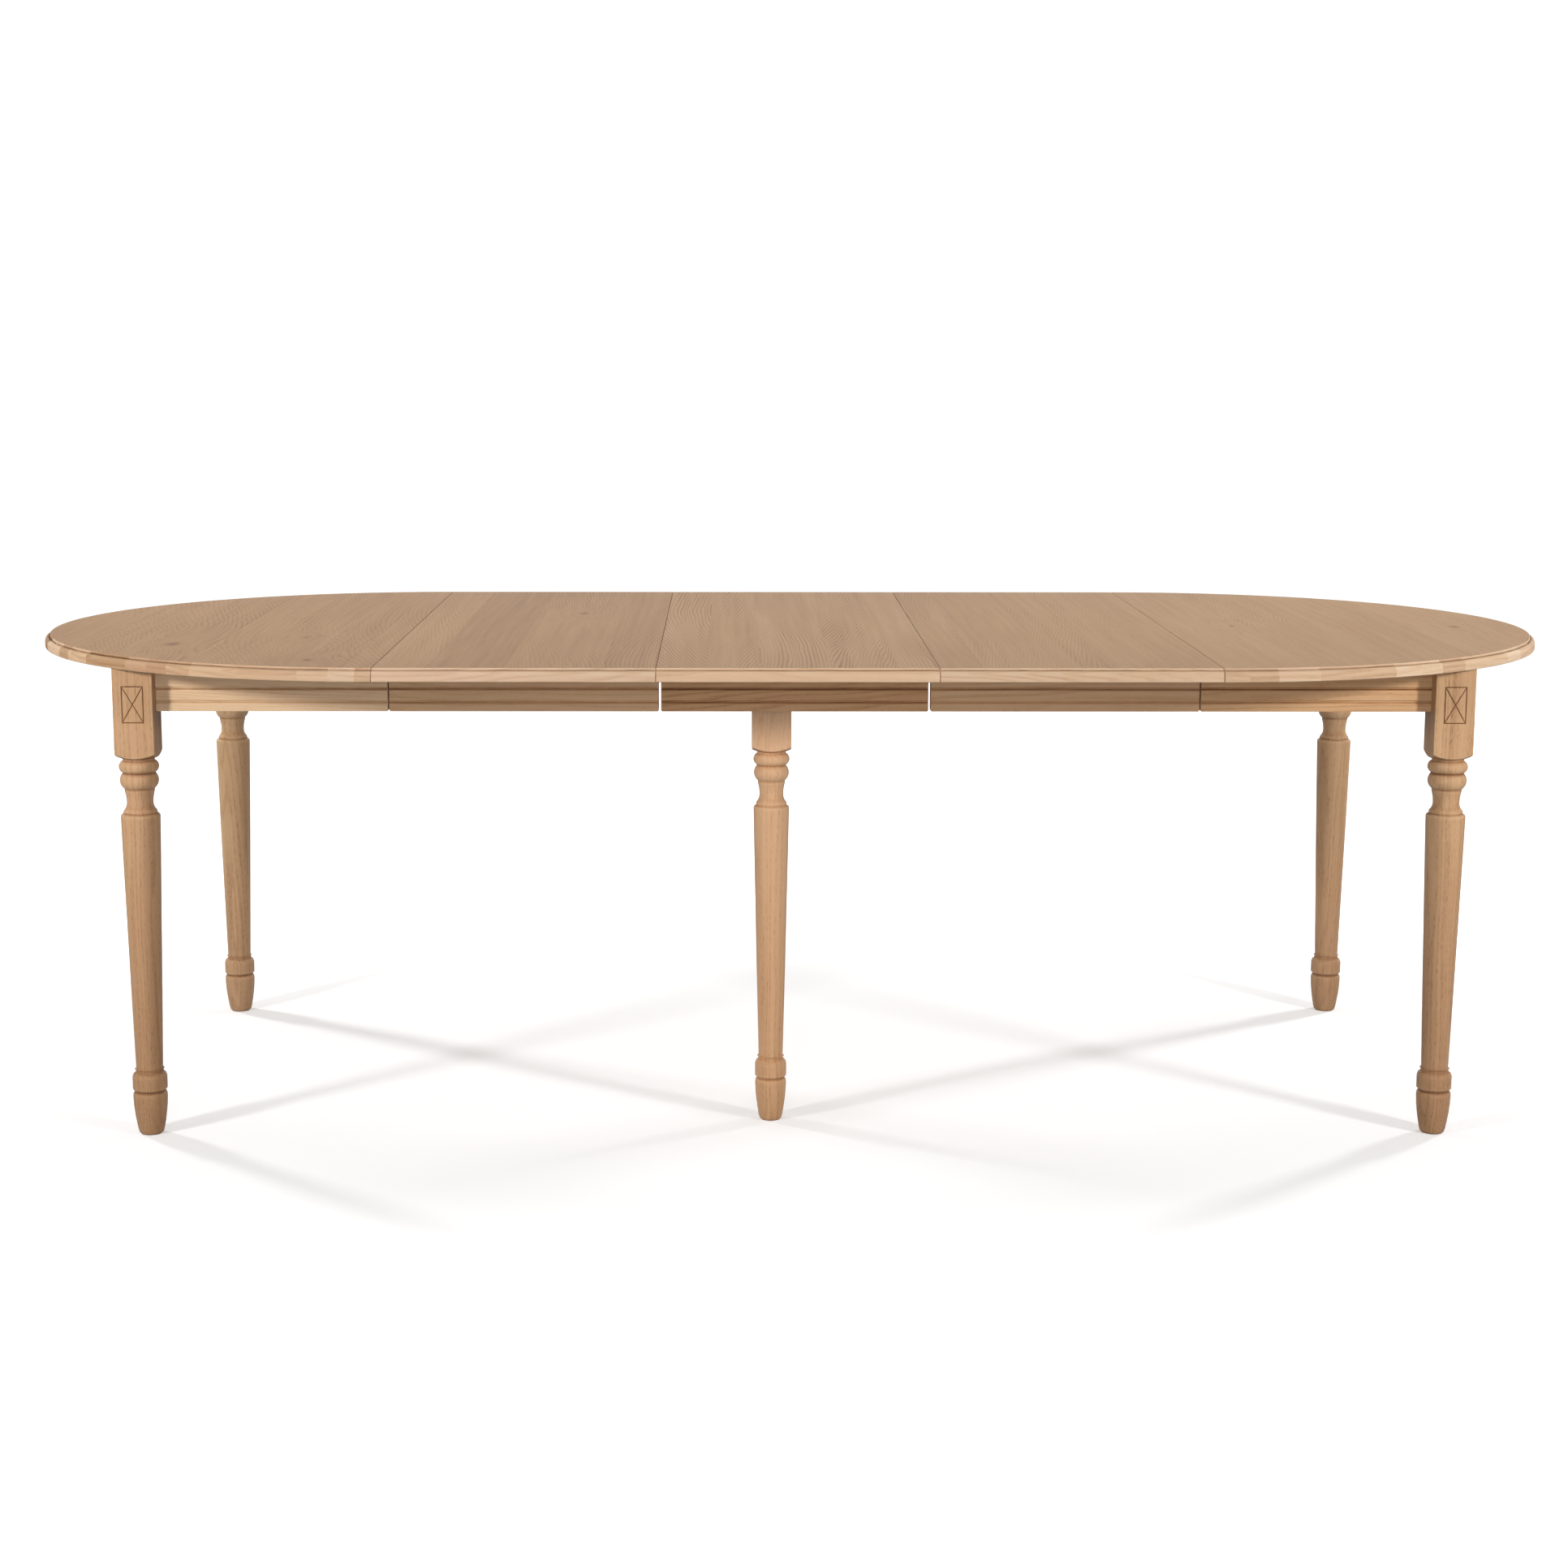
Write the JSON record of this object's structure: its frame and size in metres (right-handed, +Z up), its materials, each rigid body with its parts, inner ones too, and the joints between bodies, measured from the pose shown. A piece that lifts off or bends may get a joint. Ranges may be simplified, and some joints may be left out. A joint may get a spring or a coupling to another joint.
{
  "type": "extendable dining table",
  "caption": "Round-ended extending dining table on turned legs, with lift-out leaves carried on wooden slides and a fixed centre leg.",
  "frame": {"origin": "on the floor under the middle of the opened table", "axes": "+X along the opened table to the right, +Y from the front edge to the back edge, +Z up"},
  "size_m": [2.4358, 1.2, 0.755],
  "materials": {
    "oak_top": "matt pale oak, grain from front to back",
    "oak_frame": "matt oak, grain along the apron",
    "oak_leg": "satin oiled oak, grain along the leg",
    "runner_wood": "bare beech",
    "steel": "zinc plated steel"
  },
  "bodies": {
    "centre": {"centre_leg": "oak_leg", "cross_beam": "runner_wood", "centre_runner_front": "runner_wood", "centre_runner_back": "runner_wood", "beam_screws": "steel"},
    "left_half": {"left_top": "oak_top", "left_front_apron": "oak_frame", "left_back_apron": "oak_frame", "left_end_apron": "oak_frame", "left_front_leg": "oak_leg", "left_back_leg": "oak_leg", "left_corner_braces": "runner_wood", "left_hanger_bolts": "steel", "left_washers": "steel", "left_nuts": "steel", "left_glue_blocks": "runner_wood", "left_runner_front": "runner_wood", "left_runner_back": "runner_wood", "left_runner_screws": "steel", "left_pins": "runner_wood"},
    "right_half": {"right_top": "oak_top", "right_front_apron": "oak_frame", "right_back_apron": "oak_frame", "right_end_apron": "oak_frame", "right_front_leg": "oak_leg", "right_back_leg": "oak_leg", "right_corner_braces": "runner_wood", "right_hanger_bolts": "steel", "right_washers": "steel", "right_nuts": "steel", "right_glue_blocks": "runner_wood", "right_runner_front": "runner_wood", "right_runner_back": "runner_wood", "right_runner_screws": "steel"},
    "mid_left_front": {"mid_left_runner_front": "runner_wood"},
    "mid_left_back": {"mid_left_runner_back": "runner_wood"},
    "mid_right_front": {"mid_right_runner_front": "runner_wood"},
    "mid_right_back": {"mid_right_runner_back": "runner_wood"},
    "leaf_1": {"leaf_1_top": "oak_top", "leaf_1_front_apron": "oak_frame", "leaf_1_back_apron": "oak_frame", "leaf_1_glue_blocks": "runner_wood", "leaf_1_pins": "runner_wood"},
    "leaf_2": {"leaf_2_top": "oak_top", "leaf_2_front_apron": "oak_frame", "leaf_2_back_apron": "oak_frame", "leaf_2_glue_blocks": "runner_wood", "leaf_2_pins": "runner_wood"},
    "leaf_3": {"leaf_3_top": "oak_top", "leaf_3_front_apron": "oak_frame", "leaf_3_back_apron": "oak_frame", "leaf_3_glue_blocks": "runner_wood", "leaf_3_pins": "runner_wood"}
  },
  "joints": [
    {"name": "left_slide", "type": "slide", "parent": "centre", "child": "left_half", "axis": [1, 0, 0], "range_m": [0, 0.618]},
    {"name": "right_slide", "type": "slide", "parent": "centre", "child": "right_half", "axis": [-1, 0, 0], "range_m": [0, 0.618]},
    {"name": "mid_left_front_slide", "type": "slide", "parent": "centre", "child": "mid_left_front", "axis": [1, 0, 0], "range_m": [0, 0.309]},
    {"name": "mid_left_back_slide", "type": "slide", "parent": "centre", "child": "mid_left_back", "axis": [1, 0, 0], "range_m": [0, 0.309]},
    {"name": "mid_right_front_slide", "type": "slide", "parent": "centre", "child": "mid_right_front", "axis": [-1, 0, 0], "range_m": [0, 0.309]},
    {"name": "mid_right_back_slide", "type": "slide", "parent": "centre", "child": "mid_right_back", "axis": [-1, 0, 0], "range_m": [0, 0.309]},
    {"name": "leaf_1_lift", "type": "slide", "parent": "centre", "child": "leaf_1", "axis": [0, 0, 1], "range_m": [0, 1.0508]},
    {"name": "leaf_2_lift", "type": "slide", "parent": "centre", "child": "leaf_2", "axis": [0, 0, 1], "range_m": [0, 1.0508]},
    {"name": "leaf_3_lift", "type": "slide", "parent": "centre", "child": "leaf_3", "axis": [0, 0, 1], "range_m": [0, 1.0508]}
  ],
  "couplings": [
    {"joint": "right_slide", "follows": "left_slide", "ratio": 1},
    {"joint": "mid_left_front_slide", "follows": "left_slide", "ratio": 0.5},
    {"joint": "mid_left_back_slide", "follows": "left_slide", "ratio": 0.5},
    {"joint": "mid_right_front_slide", "follows": "left_slide", "ratio": 0.5},
    {"joint": "mid_right_back_slide", "follows": "left_slide", "ratio": 0.5},
    {"joint": "leaf_1_lift", "follows": "left_slide", "ratio": 1.7},
    {"joint": "leaf_2_lift", "follows": "left_slide", "ratio": 1.7},
    {"joint": "leaf_3_lift", "follows": "left_slide", "ratio": 1.7}
  ]
}
